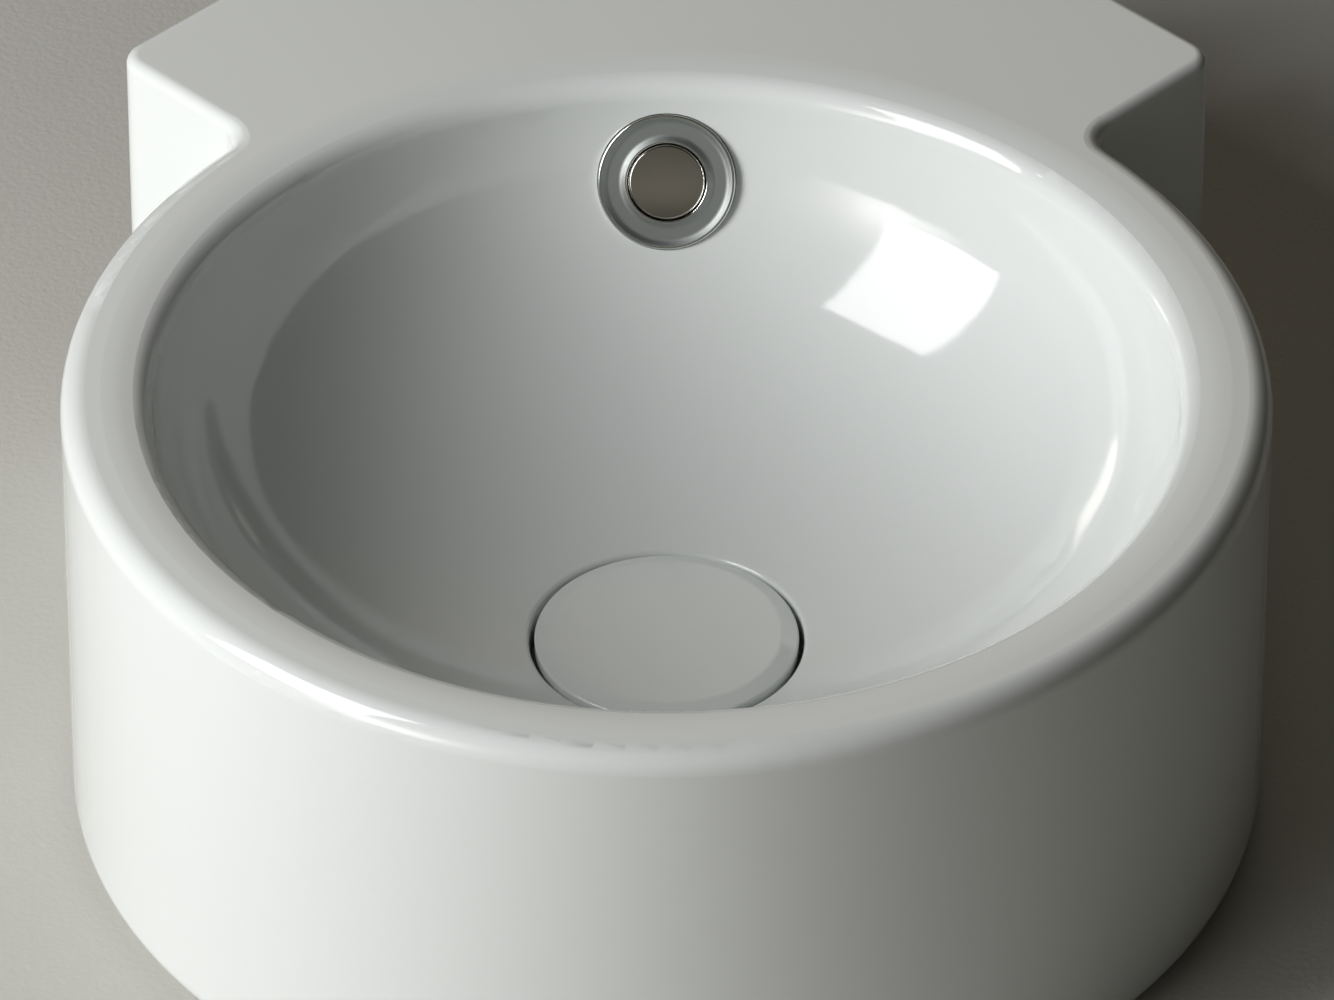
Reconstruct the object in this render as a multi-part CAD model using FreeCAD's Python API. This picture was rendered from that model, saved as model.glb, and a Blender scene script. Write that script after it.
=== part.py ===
import FreeCAD, Part
import math
import os

# A small corner wash basin for hanging in the corner of a room: a round drum with a sunk bowl, and
# behind it a square ledge that fills the corner and carries the tap hole. Millimetres, +Z up.
# The origin is on the line where the two walls meet, level with the basin's underside. The front
# of the drum looks along -Y, and the left and right walls run away from the origin at 45 degrees.

# ---- Ceramic body ----
drum_diameter = 300.0
drum_from_wall = 198.0  # from the drum's axis to each wall
ledge_side = 200.0  # of the square ledge
basin_height = 124.0
rim_width = 22.7  # from the drum's outside to the bowl's wall
ceramic_wall = 10.0
deck_thickness = 12.0
rim_solid = 18.0  # how deep the drum's rim is solid before its underside hollow begins
bowl_depth = 84.2  # from the rim to the lowest point of the bowl's ellipse
drum_round = 6.0  # along the drum's outer top edge
ledge_round = 3.0  # along the ledge's top edges
crown_width = 8.0  # the gentle curve at the inner side of the rim
crown_round = 36.0
mouth_round = 6.0  # where that curve turns into the bowl
foot_round = 6.0
corner_round = 7.5  # the ledge's upright corners
junction_round = 8.0  # the hollow corners where ledge and drum meet
tap_hole_diameter = 35.0
tap_from_wall = 55.0  # from the tap hole's axis to each wall

# ---- Waste, from the cap down ----
cap_diameter = 66.5
cap_gap = 1.3  # all round, between the cap and its recess
cap_drop = 78.9  # from the rim to the crown of the closed cap
cap_side = 4.1  # height of the cap's upright edge
cap_crown = 0.5  # how far the crown stands above the bevel
cap_bevel_width = 4.3  # the sloping band round the cap's top
cap_bevel_drop = 1.5
cap_bevel_round = 3.0  # where the crown turns into the bevel
cap_edge_round = 0.8
recess_lip_round = 1.5
insert_diameter = 18.0
insert_depth = 2.5  # how far the insert is sunk in the cap
insert_stub_diameter = 12.0
insert_stub_length = 3.5
cap_seal_thickness = 1.5
cap_seal_width = 6.0
cap_seal_diameter = 56.0
flange_diameter = 62.0
flange_thickness = 3.0
flange_bore_round = 1.5
flange_seal_thickness = 1.5
seal_inset = 1.0  # how far a seal stays inside the edge of what it seals
thread_diameter = 41.91  # G 1 1/4 pipe thread, over its crests
waste_wall = 2.4
waste_length = 87.5  # from the flange's top to the end of the tail
thread_relief = 1.0  # depth and width of the groove that parts the nut's thread from the trap's
tail_chamfer = 1.0
slot_width = 12.0
slot_height = 12.0
waste_hole_diameter = 46.0
boss_diameter = 76.0
boss_length = 30.0  # from the flange's seat to the boss's underside
gasket_thickness = 6.0
gasket_diameter = 66.0
gasket_nose = 3.0  # how far the gasket's cone reaches into the waste hole
gasket_nose_wall = 0.6  # at the tip of the cone
slip_washer_thickness = 1.5
slip_washer_diameter = 62.0
backnut_thickness = 10.0
backnut_flats = 54.0
trap_clear = 2.0  # bare thread between the back nut and the relief groove

# ---- Push mechanism ----
push_travel = 8.0  # how far the cap rises from closed to open
web_thickness = 4.0
web_drop = 10.0  # from the flange's top to the web's top
web_hub_diameter = 18.0
web_arm_width = 4.0
web_arms = 3  # with one overflow slot between each two
cartridge_diameter = 13.0
cartridge_wall = 1.3
cartridge_floor = 2.0
collar_diameter = 17.0
collar_thickness = 3.0
plunger_diameter = 6.4
plunger_head_thickness = 3.0
plunger_thread_depth = 2.0  # how far the plunger screws into the sunk part of the insert
spring_wire = 1.0
spring_length = 8.5  # as squeezed by the closed cap
spring_turns = 4.5
latch_ring_length = 5.0
latch_notch = 1.6
latch_notches = 4
stop_gap = 0.2  # between the plunger's head and the latch ring when the cap is up

# ---- Overflow ----
overflow_drop = 28.2  # from the rim to the middle of the overflow
overflow_ring_diameter = 35.2
overflow_ring_height = 2.3
overflow_dish = 0.9  # how far the ring's face lies below its two beads
overflow_bead = 0.9  # width of the outer bead
overflow_lip = 0.6  # width of the inner lip
overflow_flank = 1.2  # width of the slope from each bead down to the face
overflow_flank_round = 1.6
overflow_seat_rise = 0.5  # the flat pad that the ring sits on, above the bowl's wall
overflow_hole_diameter = 26.0
overflow_sleeve_wall = 1.2
overflow_sleeve_length = 13.0
overflow_disc_diameter = 19.7
overflow_disc_gap = 0.3
overflow_disc_thickness = 3.0
overflow_disc_bevel = 0.5
overflow_disc_proud = 0.1  # the disc's face, above the ring's lip
overflow_seal_thickness = 0.6
bridge_thickness = 2.0
bridge_hub_diameter = 8.0
bridge_rim = 1.2
bridge_arm_width = 2.5
bridge_arms = 3
disc_stem_diameter = 4.0
clip_thickness = 0.4
clip_band = 2.5  # width of the band round the sleeve
clip_leg_width = 5.0
clip_flare = 1.1  # how far the legs bulge behind the ceramic
clip_slope = 1.7  # length of each side of the bulge
clip_legs = 3
duct_width = 30.0
duct_depth = 8.0
duct_wall = 8.0
duct_ceiling = 2.0  # ceramic between the deck's underside and the duct's top
duct_foot_height = 16.0
duct_foot_reach = 55.0  # from the drum's axis to the back of the duct's foot

# ---- Wall fixings, one on each wall ----
fixing_from_corner = 100.0
fixing_drop = 56.0  # from the rim down to the bolts
bolt_diameter = 10.0
wood_thread_diameter = 9.0
bolt_in_wall = 62.0
bolt_inside = 36.0  # from the wall's face to the bolt's end inside the ledge
bolt_point = 8.0
bolt_shank = 4.0  # how far the metric thread reaches into the wall plug
bolt_chamfer = 1.0
plug_diameter = 14.0  # of the unsplit part next to the wall
plug_split_diameter = 12.8
plug_length = 68.0
plug_floor = 4.0
plug_chamfer = 1.0
plug_slot_width = 1.2
plug_slot_length = 40.0
bush_diameter = 16.0
bush_flange_diameter = 28.0
bush_flange_thickness = 3.0
bush_off_wall = 0.5  # the bush ends short of the wall
washer_diameter = 27.0
washer_thickness = 2.5
nut_flats = 17.0
nut_thickness = 8.0

# ---- Clearances ----
fit_gap = 0.3  # loose parts in their holes
thread_gap = 0.05  # between screwed parts, which carry no thread form
running_gap = 0.08  # between the plunger and the bores that guide it

# ---- Small sizes that many pieces share ----
edge_break = 0.3  # rounding of moulded and turned edges
edge_chamfer = 0.6  # on washers and collars
soft_round = 1.0  # on flanges, nuts and gaskets
root_round = 0.8  # in the hollow corner between a flange and its tube
nut_ease = 0.06  # how high a nut's turned-off corners start, as a share of its flats
nut_ease_angle = 30.0
crest_share = 0.42  # of a bead's width, so that its crest is almost a half round
cut_past = 1.0  # how far a cutting solid reaches past the face that it opens
touch = 0.01  # two places that are closer than this are the same place

# ---- Worked out from the sizes above ----
UP = FreeCAD.Vector(0, 0, 1)
ORIGIN = FreeCAD.Vector(0, 0, 0)
diagonal = math.sqrt(2.0)
drum_radius = drum_diameter / 2
bowl_radius = drum_radius - rim_width
axis_y = -drum_from_wall * diagonal
drum_axis = FreeCAD.Vector(0, axis_y, 0)
tap_y = -tap_from_wall * diagonal
cap_top = basin_height - cap_drop
cap_edge = cap_top - cap_crown - cap_bevel_drop
cap_under = cap_edge - cap_side
flange_top = cap_under - cap_seal_thickness
flange_under = flange_top - flange_thickness
waste_seat = flange_under - flange_seal_thickness
boss_under = waste_seat - boss_length
gasket_under = boss_under - gasket_thickness
slip_washer_under = gasket_under - slip_washer_thickness
backnut_under = slip_washer_under - backnut_thickness
tail_end = flange_top - waste_length
thread_radius = thread_diameter / 2
waste_bore = thread_radius - waste_wall
recess_radius = cap_diameter / 2 + cap_gap
waste_hole_radius = waste_hole_diameter / 2
web_top = flange_top - web_drop
cartridge_radius = cartridge_diameter / 2
cartridge_bore = cartridge_radius - cartridge_wall
collar_top = web_top + collar_thickness
latch_under = web_top - latch_ring_length
head_top = latch_under - stop_gap - push_travel
head_under = head_top - plunger_head_thickness
cartridge_inside = head_under - spring_length
cartridge_under = cartridge_inside - cartridge_floor
plunger_radius = plunger_diameter / 2
slot_middle = boss_under + duct_wall + duct_foot_height / 2
fixing_z = basin_height - fixing_drop

# ---- The overflow's own axis: square to the bowl's ellipse where it breaks through ----
crown_turn = math.asin(crown_width / crown_round)
crown_drop = crown_round * (1 - math.cos(crown_turn))
mouth_depth = crown_drop + mouth_round * math.cos(crown_turn)
ellipse_top = basin_height - mouth_depth
ellipse_depth = bowl_depth - mouth_depth
overflow_turn = math.asin((overflow_drop - mouth_depth) / ellipse_depth)
overflow_tilt = math.atan(bowl_radius / ellipse_depth * math.tan(overflow_turn))
overflow_in = FreeCAD.Vector(0, -math.cos(overflow_tilt), math.sin(overflow_tilt))
overflow_wall = FreeCAD.Vector(
    0, axis_y + bowl_radius * math.cos(overflow_turn), basin_height - overflow_drop
)
overflow_seat = overflow_wall + overflow_in * overflow_seat_rise
overflow_hole_radius = overflow_hole_diameter / 2
sleeve_radius = overflow_hole_radius - fit_gap - clip_thickness
sleeve_bore = sleeve_radius - overflow_sleeve_wall
disc_radius = overflow_disc_diameter / 2
lip_bore = disc_radius + overflow_disc_gap
ring_top = overflow_seal_thickness + overflow_ring_height
disc_back = ring_top + overflow_disc_proud - overflow_disc_thickness
bolt_radius = bolt_diameter / 2
bush_under_washer = ceramic_wall + bush_flange_thickness
nut_seat = bush_under_washer + washer_thickness


def rounded_wire(corners):
    """Closed outline in the XZ plane from (radius, height, rounding) corners."""
    count = len(corners)
    points = [FreeCAD.Vector(r, 0, z) for r, z, _ in corners]
    edges = []
    arcs = []
    for i, (_, _, rounding) in enumerate(corners):
        here = points[i]
        back = (points[i - 1] - here).normalize()
        ahead = (points[(i + 1) % count] - here).normalize()
        if rounding <= 0:
            arcs.append((here, here, here))
            continue
        half = back.getAngle(ahead) / 2
        reach = rounding / math.tan(half)
        middle = (back + ahead).normalize() * (rounding / math.sin(half) - rounding)
        arcs.append((here + back * reach, here + middle, here + ahead * reach))
    for i, (start, middle, end) in enumerate(arcs):
        if start.distanceToPoint(end) > 1e-6:
            edges.append(Part.Arc(start, middle, end).toShape())
        following = arcs[(i + 1) % count][0]
        if end.distanceToPoint(following) > 1e-6:
            edges.append(Part.makeLine(end, following))
    return Part.Wire(edges)


def turned(corners):
    """Solid of revolution about the Z axis."""
    return Part.Face(rounded_wire(corners)).revolve(ORIGIN, UP, 360)


def tube(outer, inner, low, high, chamfer=0.0):
    """Plain ring about the Z axis, its outer edges eased when a chamfer is given."""
    if chamfer <= 0:
        return turned([(inner, low, 0), (outer, low, 0), (outer, high, 0), (inner, high, 0)])
    return turned(
        [
            (inner, low, 0),
            (outer - chamfer, low, 0),
            (outer, low + chamfer, 0),
            (outer, high - chamfer, 0),
            (outer - chamfer, high, 0),
            (inner, high, 0),
        ]
    )


def rod(radius, low, high):
    """Round bar on the Z axis."""
    return Part.makeCylinder(radius, high - low, FreeCAD.Vector(0, 0, low))


def block(x0, x1, y0, y1, z0, z1):
    """Box between two corners."""
    return Part.makeBox(x1 - x0, y1 - y0, z1 - z0, FreeCAD.Vector(x0, y0, z0))


def placed(shape, point, direction=UP):
    """The shape with its Z axis laid along direction, through point."""
    moved = shape.copy()
    moved.Placement = FreeCAD.Placement(point, FreeCAD.Rotation(UP, direction)) * shape.Placement
    return moved


def hex_nut(flats, thickness, bore):
    """Hexagon nut on the Z axis, from height 0 up, its corners turned off."""
    points = []
    for i in range(7):
        turn = math.radians(60 * i)
        points.append(FreeCAD.Vector(math.cos(turn), math.sin(turn), 0) * (flats / math.sqrt(3.0)))
    body = Part.Face(Part.makePolygon(points)).extrude(UP * thickness)
    ease = flats * nut_ease
    outer = flats / 2 + ease / math.tan(math.radians(nut_ease_angle))
    eased = turned(
        [
            (0, 0, 0),
            (flats / 2, 0, 0),
            (outer, ease, 0),
            (outer, thickness - ease, 0),
            (flats / 2, thickness, 0),
            (0, thickness, 0),
        ]
    )
    return body.common(eased).cut(rod(bore, -cut_past, thickness + cut_past))


def around(shape, count):
    """The shape and its copies at even steps about the Z axis."""
    copies = []
    for i in range(count):
        copy = shape.copy()
        copy.rotate(ORIGIN, UP, 360.0 * i / count)
        copies.append(copy)
    return copies


def wall_box(u0, u1, v0, v1, z0, z1):
    """Box squared to the walls: u and v are the distances from the left and the right wall."""
    box = block(u0, u1, -v1, -v0, z0, z1)
    box.rotate(ORIGIN, UP, -45)
    return box


def mirrored(shape):
    """The shape on the other side of the room's corner."""
    return shape.mirror(ORIGIN, FreeCAD.Vector(1, 0, 0))


def bowl_volume(growth):
    """The bowl's hollow, or with growth a shell's outer face: a half ellipsoid under a collar."""
    centre = FreeCAD.Vector(0, 0, ellipse_top)
    side = centre + FreeCAD.Vector(bowl_radius + growth, 0, 0)
    bottom = centre - UP * (ellipse_depth + growth)
    top = UP * basin_height
    shoulder = FreeCAD.Vector(side.x, 0, basin_height)
    curve = Part.Ellipse(side, bottom, centre).toShape(0, math.pi / 2)
    lines = [Part.makeLine(bottom, top), Part.makeLine(top, shoulder), Part.makeLine(shoulder, side)]
    return placed(Part.Face(Part.Wire([curve] + lines)).revolve(ORIGIN, UP, 360), drum_axis)


def mouth_flare():
    """What the crowned rim and the rounded mouth take off the block."""

    def on_arc(centre, radius, turn):
        return centre + FreeCAD.Vector(-math.sin(turn), 0, math.cos(turn)) * radius

    turn_centre = FreeCAD.Vector(bowl_radius + mouth_round, 0, ellipse_top)
    start = on_arc(turn_centre, mouth_round, math.pi / 2)
    meet = on_arc(turn_centre, mouth_round, crown_turn)
    mouth = Part.Arc(start, on_arc(turn_centre, mouth_round, (math.pi / 2 + crown_turn) / 2), meet)
    crown_centre = on_arc(turn_centre, mouth_round - crown_round, crown_turn)
    end = on_arc(crown_centre, crown_round, 0)
    crown = Part.Arc(meet, on_arc(crown_centre, crown_round, crown_turn / 2), end)
    rise = end + UP
    inner = FreeCAD.Vector(0, 0, ellipse_top)
    lines = [
        Part.makeLine(end, rise),
        Part.makeLine(rise, FreeCAD.Vector(0, 0, rise.z)),
        Part.makeLine(FreeCAD.Vector(0, 0, rise.z), inner),
        Part.makeLine(inner, start),
    ]
    outline = Part.Wire([mouth.toShape(), crown.toShape()] + lines)
    return placed(Part.Face(outline).revolve(ORIGIN, UP, 360), drum_axis)


def upright_edges(shape, places):
    """The vertical edges that stand at the given plan points."""
    found = []
    for edge in shape.Edges:
        low, high = edge.BoundBox.ZMin, edge.BoundBox.ZMax
        if high - low < basin_height - touch:
            continue
        middle = edge.BoundBox.Center
        for x, y in places:
            if math.hypot(middle.x - x, middle.y - y) < touch:
                found.append(edge)
    return found


def edges_at(shape, height):
    """The edges that lie level at a height."""
    return [
        edge
        for edge in shape.Edges
        if abs(edge.BoundBox.ZMin - height) < touch and abs(edge.BoundBox.ZMax - height) < touch
    ]


def rings_of(shape, radius, low, high, centre_y):
    """The level round edges of a radius about an upright axis at centre_y, between two heights."""
    found = []
    for edge in shape.Edges:
        box = edge.BoundBox
        level = box.ZMax - box.ZMin < touch and low <= box.ZMin <= high
        centred = abs(box.XMax - radius) < touch and abs(box.YMax - centre_y - radius) < touch
        if level and centred:
            found.append(edge)
    return found


def rounded_top(body):
    """The block with its top edges rounded, more on the drum than on the ledge.

    The rounding grows along the two hollow corners where ledge and drum meet.
    """
    document = FreeCAD.newDocument("top")
    base = document.addObject("Part::Feature", "base")
    base.Shape = body
    roundings = []
    for number, edge in enumerate(body.Edges, 1):
        if abs(edge.BoundBox.ZMin - basin_height) > touch or edge.BoundBox.ZLength > touch:
            continue
        # The two sizes belong to the edge's ends, anticlockwise as seen from above.
        ends = [edge.Vertexes[0].Point, edge.Vertexes[-1].Point]
        ends.sort(key=lambda p: math.atan2(p.y + ledge_side, p.x))
        on_drum = [math.hypot(p.x, p.y - axis_y) < drum_radius + touch for p in ends]
        sizes = [drum_round if on else ledge_round for on in on_drum]
        roundings.append((number, sizes[0], sizes[1]))
    fillet = document.addObject("Part::Fillet", "fillet")
    fillet.Base = base
    fillet.Edges = roundings
    document.recompute()
    rounded = fillet.Shape.copy()
    FreeCAD.closeDocument("top")
    return rounded


def outer_block():
    """Drum and ledge as one solid block with all its outer edges rounded."""
    drum = placed(rod(drum_radius, 0, basin_height), drum_axis)
    ledge = wall_box(0, ledge_side, 0, ledge_side, 0, basin_height)
    body = drum.fuse(ledge).removeSplitter()
    side = ledge_side / diagonal
    corners = [(0, 0), (-side, -side), (side, -side)]
    body = body.makeFillet(corner_round, upright_edges(body, corners))
    past = ledge_side - drum_from_wall
    along = math.sqrt(drum_radius**2 - past**2)
    across = (along + past) / diagonal
    behind = axis_y + (along - past) / diagonal
    body = body.makeFillet(junction_round, upright_edges(body, [(-across, behind), (across, behind)]))
    body = rounded_top(body)
    return body.makeFillet(foot_round, edges_at(body, 0))


def overflow_duct():
    """Ceramic hump that covers the duct, from the overflow down to the waste boss."""
    half = duct_width / 2 + duct_wall
    reach = bowl_radius + ceramic_wall + duct_depth + duct_wall
    slab = block(-half, half, axis_y, axis_y + reach, 0, basin_height - deck_thickness)
    hump = bowl_volume(ceramic_wall + duct_depth + duct_wall).common(slab)
    foot = block(
        -half,
        half,
        axis_y,
        axis_y + duct_foot_reach + duct_wall,
        boss_under,
        waste_seat,
    )
    return hump.fuse(foot)


def duct_passage():
    """The duct's hollow: a flat passage behind the bowl that ends in the waste hole."""
    half = duct_width / 2
    floor = boss_under + duct_wall
    ceiling = basin_height - deck_thickness - duct_ceiling
    slab = block(-half, half, axis_y + waste_hole_radius, 0, floor, ceiling)
    passage = bowl_volume(ceramic_wall + duct_depth).cut(bowl_volume(ceramic_wall)).common(slab)
    foot = block(
        -half, half, axis_y, axis_y + duct_foot_reach, floor, floor + duct_foot_height
    )
    return passage.fuse(foot)


def underside_hollow():
    """Space inside the outer walls, open below, less all that the bowl side needs."""
    drum = placed(rod(drum_radius - ceramic_wall, -cut_past, basin_height - rim_solid), drum_axis)
    inner = ledge_side - ceramic_wall
    ledge = wall_box(
        ceramic_wall, inner, ceramic_wall, inner, -cut_past, basin_height - deck_thickness
    )
    boss = placed(rod(boss_diameter / 2, boss_under, waste_seat), drum_axis)
    kept = bowl_volume(ceramic_wall).fuse([boss, overflow_duct()])
    return drum.fuse(ledge).cut(kept)


def fixing_frame(shape):
    """A fixing, made along Z with the wall's face at height 0, set on each wall in turn."""
    inward = FreeCAD.Vector(1, -1, 0)
    point = FreeCAD.Vector(-fixing_from_corner / diagonal, -fixing_from_corner / diagonal, fixing_z)
    left = placed(shape, point, inward)
    return [left, mirrored(left)]


def on_each_wall(shape):
    """One of the shape on the left wall and one on the right."""
    return Part.makeCompound(fixing_frame(shape))


def ceramic_basin():
    """Drum, ledge, bowl, waste boss and overflow duct in one piece of ceramic."""
    body = outer_block().cut(bowl_volume(0)).cut(mouth_flare())
    recess = placed(rod(recess_radius, waste_seat, basin_height - bowl_depth / 2), drum_axis)
    body = body.cut(underside_hollow()).cut(recess)
    lip_edge = rings_of(body, recess_radius, waste_seat + touch, basin_height, axis_y)
    body = body.makeFillet(recess_lip_round, lip_edge)
    pad_radius = overflow_ring_diameter / 2 + fit_gap
    pad = placed(rod(pad_radius, -ceramic_wall / 2, 0), overflow_seat, overflow_in)
    spot = placed(rod(pad_radius, 0, ceramic_wall), overflow_seat, overflow_in)
    body = body.fuse(pad).cut(spot)
    reach = ceramic_wall + duct_depth / 2
    hole = placed(rod(overflow_hole_radius, -reach, cut_past), overflow_seat, overflow_in)
    waste_hole = placed(rod(waste_hole_radius, 0, waste_seat + cut_past), drum_axis)
    tap_hole = rod(tap_hole_diameter / 2, basin_height - 2 * deck_thickness, basin_height + cut_past)
    tap_hole.translate(FreeCAD.Vector(0, tap_y, 0))
    body = body.cut(duct_passage()).cut(hole).cut(waste_hole).cut(tap_hole)
    bolt_hole = rod(bush_diameter / 2 + fit_gap, -cut_past, ceramic_wall + cut_past)
    for one in fixing_frame(bolt_hole):
        body = body.cut(one)
    return body.removeSplitter()


def waste_cap():
    """Ceramic disc with a low crown, a sloping band round it and a pocket for the insert."""
    radius = cap_diameter / 2
    flat = turned(
        [
            (0, cap_under, 0),
            (radius, cap_under, cap_edge_round),
            (radius, cap_edge, cap_edge_round),
            (radius - cap_bevel_width, cap_edge + cap_bevel_drop, 0),
            (radius - cap_bevel_width, cap_top, 0),
            (0, cap_top, 0),
        ]
    )
    reach = radius - cap_bevel_width
    crown_radius = (reach**2 + cap_crown**2) / (2 * cap_crown)
    dome = Part.makeSphere(crown_radius, FreeCAD.Vector(0, 0, cap_top - crown_radius))
    disc = flat.common(dome)
    disc = disc.makeFillet(cap_bevel_round, rings_of(disc, reach, cap_edge, cap_top, 0))
    pocket = rod(insert_diameter / 2 + thread_gap, cap_under - cut_past, cap_under + insert_depth)
    return placed(disc.cut(pocket), drum_axis)


def cap_insert():
    """Brass hub bonded into the cap, tapped for the plunger."""
    stub = insert_stub_diameter / 2
    body = turned(
        [
            (0, cap_under - insert_stub_length, 0),
            (stub, cap_under - insert_stub_length, 0),
            (stub, cap_under, 0),
            (insert_diameter / 2, cap_under, 0),
            (insert_diameter / 2, cap_under + insert_depth, 0),
            (0, cap_under + insert_depth, 0),
        ]
    )
    tapping = rod(
        plunger_radius + thread_gap,
        cap_under - insert_stub_length - cut_past,
        cap_under + plunger_thread_depth,
    )
    return placed(body.cut(tapping), drum_axis)


def cap_seal():
    """Rubber ring under the cap, which closes on the flange."""
    outer = cap_seal_diameter / 2
    inner = outer - cap_seal_width
    return placed(
        turned(
            [
                (inner, flange_top, edge_break),
                (outer, flange_top, edge_break),
                (outer, cap_under, 0),
                (inner, cap_under, 0),
            ]
        ),
        drum_axis,
    )


def plunger():
    """Rod that carries the cap, with the head that the spring lifts."""
    head = cartridge_bore - running_gap
    return placed(
        turned(
            [
                (0, head_under, 0),
                (head, head_under, 0),
                (head, head_top, 0),
                (plunger_radius, head_top, 0),
                (plunger_radius, cap_under + plunger_thread_depth - edge_chamfer, 0),
                (plunger_radius - edge_chamfer, cap_under + plunger_thread_depth, 0),
                (0, cap_under + plunger_thread_depth, 0),
            ]
        ),
        drum_axis,
    )


def waste_body():
    """Chromed brass flange and tube in one, with the web that holds the cartridge."""
    relief_top = backnut_under - trap_clear
    body = turned(
        [
            (waste_bore, tail_end, 0),
            (thread_radius - tail_chamfer, tail_end, 0),
            (thread_radius, tail_end + tail_chamfer, 0),
            (thread_radius, relief_top - thread_relief, 0),
            (thread_radius - thread_relief, relief_top - thread_relief, 0),
            (thread_radius - thread_relief, relief_top, 0),
            (thread_radius, relief_top, 0),
            (thread_radius, flange_under, root_round),
            (flange_diameter / 2, flange_under, 0),
            (flange_diameter / 2, flange_top, soft_round),
            (waste_bore, flange_top, flange_bore_round),
        ]
    )
    half_slot = slot_width / 2
    slot = block(0, thread_radius + cut_past, -half_slot, half_slot, 0, slot_height)
    slot.translate(FreeCAD.Vector(0, 0, slot_middle - slot_height / 2))
    slot.rotate(ORIGIN, UP, 180.0 / web_arms)
    for window in around(slot, web_arms):
        body = body.cut(window)
    web_under = web_top - web_thickness
    half = web_arm_width / 2
    arm = block(0, waste_bore + waste_wall / 2, -half, half, web_under, web_top)
    hub = rod(web_hub_diameter / 2, web_under, web_top)
    body = body.fuse([hub] + around(arm, web_arms))
    body = body.cut(rod(cartridge_radius + thread_gap, web_under - cut_past, web_top + cut_past))
    return placed(body.removeSplitter(), drum_axis)


def flange_seal():
    """Rubber ring between the flange and the ceramic."""
    inner = thread_radius + fit_gap + root_round
    return placed(tube(flange_diameter / 2 - seal_inset, inner, waste_seat, flange_under), drum_axis)


def cartridge_housing():
    """Cup that screws into the web and holds the spring and the latch."""
    return placed(
        turned(
            [
                (0, cartridge_under, 0),
                (cartridge_radius, cartridge_under, soft_round),
                (cartridge_radius, web_top, 0),
                (cartridge_bore, web_top, 0),
                (cartridge_bore, cartridge_inside, 0),
                (0, cartridge_inside, 0),
            ]
        ),
        drum_axis,
    )


def cartridge_collar():
    """Ring that closes the cartridge and guides the plunger."""
    return placed(
        tube(collar_diameter / 2, plunger_radius + running_gap, web_top, collar_top, edge_chamfer),
        drum_axis,
    )


def latch_ring():
    """Sleeve with the turned-in track that catches the plunger."""
    ring = tube(
        cartridge_bore - thread_gap,
        plunger_radius + running_gap,
        latch_under,
        web_top,
    )
    half = latch_notch / 2
    notch = block(0, cartridge_bore, -half, half, latch_under, latch_under + latch_ring_length / 2)
    for cut in around(notch, latch_notches):
        ring = ring.cut(cut)
    return placed(ring, drum_axis)


def arc_from(start, start_way, end):
    """Circular arc from start, leaving along start_way, to end."""
    chord = end - start
    along = chord.dot(start_way)
    meet = start + start_way * (chord.Length**2 / (2 * along))
    middle = (start + end) * 0.5
    cosine = chord.Length / 2 / (meet - start).Length
    return Part.Arc(start, middle + (meet - middle) * (cosine / (1 + cosine)), end).toShape()


def biarc(start, start_way, end, end_way):
    """Two arcs that join two points of a coil and keep its direction at both."""
    gap = end - start
    spread = start_way + end_way
    a = 4 - spread.dot(spread)
    b = 2 * gap.dot(spread)
    reach = (-b + math.sqrt(b * b + 4 * a * gap.dot(gap))) / (2 * a)
    joint = (start + start_way * reach + end - end_way * reach) * 0.5
    join_way = (end - end_way * reach) - (start + start_way * reach)
    join_way.normalize()
    return [arc_from(start, start_way, joint), arc_from(joint, join_way, end)]


def click_spring():
    """Coil spring, one unbroken wire, wound in quarter turns."""
    radius = cartridge_bore - fit_gap - spring_wire / 2
    rise = spring_length - spring_wire - 2 * thread_gap
    steps = round(spring_turns * 4)
    slope = rise / (2 * math.pi * spring_turns)
    nodes = []
    for i in range(steps + 1):
        angle = math.pi / 2 * i
        height = cartridge_inside + thread_gap + spring_wire / 2 + slope * angle
        point = FreeCAD.Vector(radius * math.cos(angle), radius * math.sin(angle), height)
        way = FreeCAD.Vector(-radius * math.sin(angle), radius * math.cos(angle), slope)
        nodes.append((point, way.normalize()))
    edges = []
    for (here, way), (there, next_way) in zip(nodes, nodes[1:]):
        edges.extend(biarc(here, way, there, next_way))
    path = Part.Wire(edges)
    first, first_way = nodes[0]
    section = Part.Wire([Part.Circle(first, first_way, spring_wire / 2).toShape()])
    coil = path.makePipeShell([section], True, False)
    gap = 2 * math.pi * slope - spring_wire
    print(f"spring: {spring_turns} turns, least gap between turns {gap:.2f} mm")
    print(f"spring volume {coil.Volume:.1f}, expected {path.Length * math.pi * spring_wire**2 / 4:.1f}")
    return placed(coil, drum_axis)


def lower_gasket():
    """Rubber ring with a cone that centres the waste in its hole."""
    inner = thread_radius + thread_gap
    return placed(
        turned(
            [
                (inner, gasket_under, 0),
                (gasket_diameter / 2, gasket_under, soft_round),
                (gasket_diameter / 2, boss_under, 0),
                (waste_hole_radius - thread_gap, boss_under, 0),
                (inner + gasket_nose_wall, boss_under + gasket_nose, 0),
                (inner, boss_under + gasket_nose, 0),
            ]
        ),
        drum_axis,
    )


def slip_washer():
    """Thin washer, so that the nut doesn't twist the gasket."""
    return placed(
        tube(slip_washer_diameter / 2, thread_radius + fit_gap, slip_washer_under, gasket_under),
        drum_axis,
    )


def waste_backnut():
    """Large hexagon nut that clamps the waste from below."""
    nut = hex_nut(backnut_flats, backnut_thickness, thread_radius + thread_gap)
    return placed(nut, FreeCAD.Vector(0, axis_y, backnut_under))


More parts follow.
